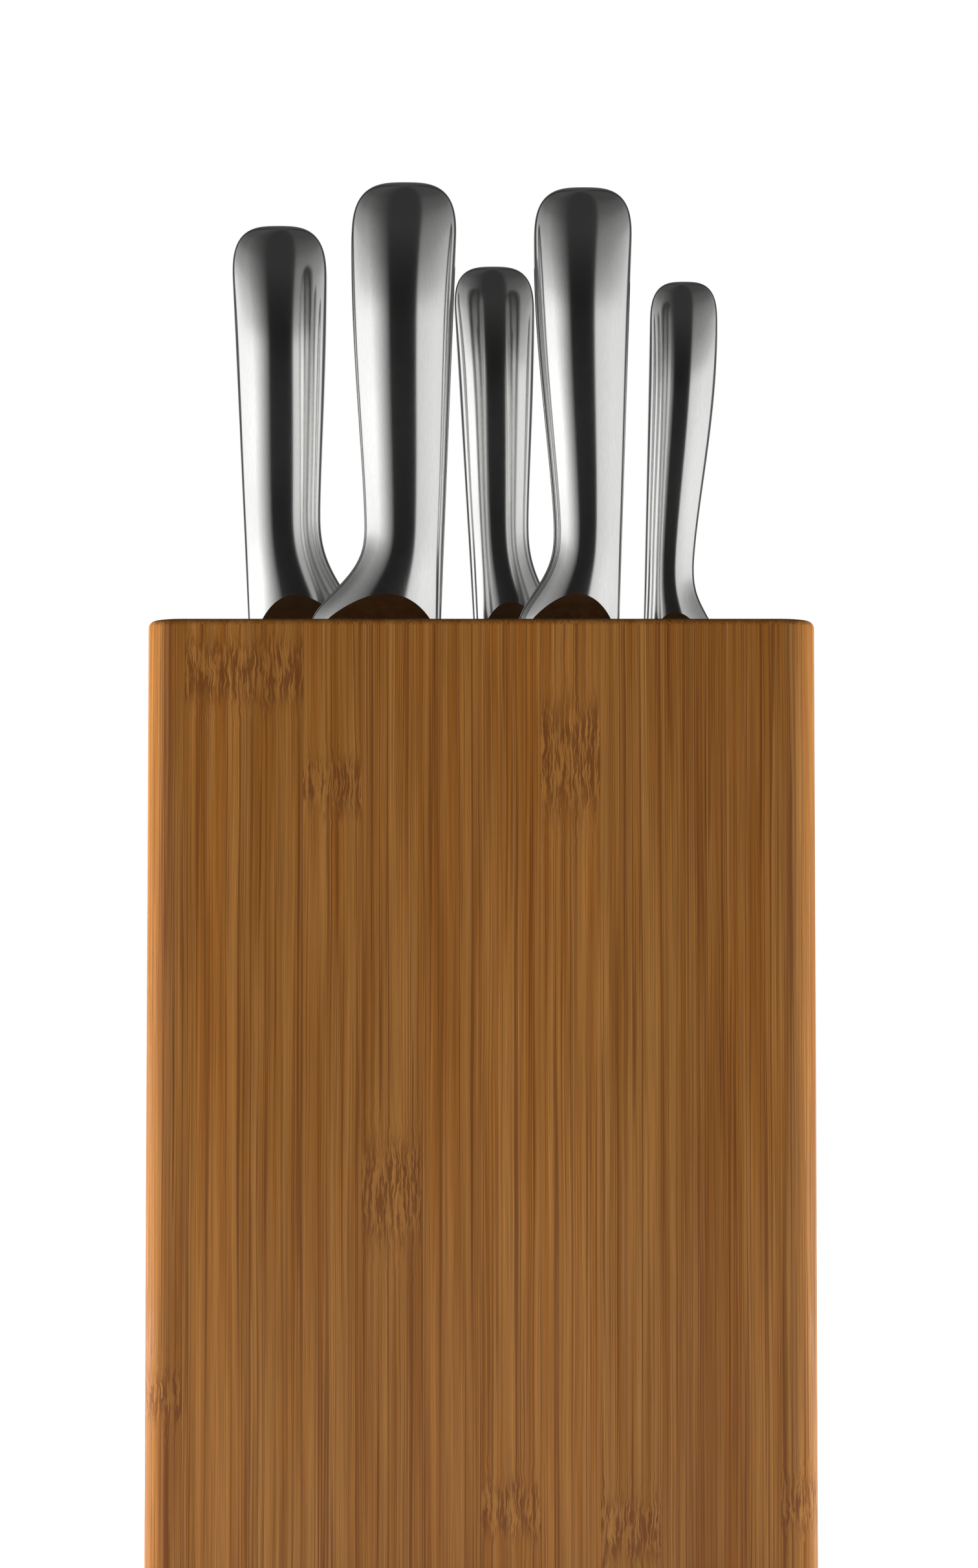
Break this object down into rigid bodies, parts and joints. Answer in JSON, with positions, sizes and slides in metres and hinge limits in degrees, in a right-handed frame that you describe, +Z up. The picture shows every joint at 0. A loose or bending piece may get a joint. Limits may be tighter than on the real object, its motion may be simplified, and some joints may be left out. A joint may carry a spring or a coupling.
{
  "type": "knife block with knives",
  "caption": "Upright laminated bamboo knife block with rounded corners, holding hollow-handled all-steel kitchen knives in top slots, each free to lift out.",
  "frame": {"origin": "on the worktop, under the middle of the block", "axes": "+Z up along the knives, +X to the right as seen from the front, -Y out of the wide front face"},
  "size_m": [0.18, 0.0832, 0.3932],
  "materials": {
    "bamboo": "carbonised laminated bamboo, satin oiled",
    "blade_steel": "fine vertical grind with a brighter edge bevel",
    "handle_steel": "satin, close to polished",
    "handle_filler": "rigid foam with a fine cell texture",
    "foot_rubber": "matt moulded",
    "screw_steel": "plain zinc-plated"
  },
  "bodies": {
    "block": {"front_face_board": "bamboo", "front_inner_board": "bamboo", "centre_front_board": "bamboo", "centre_back_board": "bamboo", "back_inner_board": "bamboo", "back_face_board": "bamboo", "front_left_spacer": "bamboo", "front_middle_spacer": "bamboo", "front_right_spacer": "bamboo", "back_left_spacer": "bamboo", "back_second_spacer": "bamboo", "back_third_spacer": "bamboo", "back_right_spacer": "bamboo", "base_plate": "bamboo", "foot_front_left": "foot_rubber", "foot_front_right": "foot_rubber", "foot_back_left": "foot_rubber", "foot_back_right": "foot_rubber", "base_screws": "screw_steel", "foot_screws": "screw_steel"},
    "bread_knife": {"bread_knife_blade": "blade_steel", "bread_knife_front_shell": "handle_steel", "bread_knife_back_shell": "handle_steel", "bread_knife_core": "handle_filler"},
    "chef_knife": {"chef_knife_blade": "blade_steel", "chef_knife_front_shell": "handle_steel", "chef_knife_back_shell": "handle_steel", "chef_knife_core": "handle_filler"},
    "utility_knife": {"utility_knife_blade": "blade_steel", "utility_knife_front_shell": "handle_steel", "utility_knife_back_shell": "handle_steel", "utility_knife_core": "handle_filler"},
    "carving_knife": {"carving_knife_blade": "blade_steel", "carving_knife_front_shell": "handle_steel", "carving_knife_back_shell": "handle_steel", "carving_knife_core": "handle_filler"},
    "paring_knife": {"paring_knife_blade": "blade_steel", "paring_knife_front_shell": "handle_steel", "paring_knife_back_shell": "handle_steel", "paring_knife_core": "handle_filler"}
  },
  "joints": [
    {"name": "bread_knife_lift", "type": "slide", "parent": "block", "child": "bread_knife", "axis": [0, 0, 1], "range_m": [0, 0.22]},
    {"name": "chef_knife_lift", "type": "slide", "parent": "block", "child": "chef_knife", "axis": [0, 0, 1], "range_m": [0, 0.215]},
    {"name": "utility_knife_lift", "type": "slide", "parent": "block", "child": "utility_knife", "axis": [0, 0, 1], "range_m": [0, 0.145]},
    {"name": "carving_knife_lift", "type": "slide", "parent": "block", "child": "carving_knife", "axis": [0, 0, 1], "range_m": [0, 0.215]},
    {"name": "paring_knife_lift", "type": "slide", "parent": "block", "child": "paring_knife", "axis": [0, 0, 1], "range_m": [0, 0.105]}
  ]
}
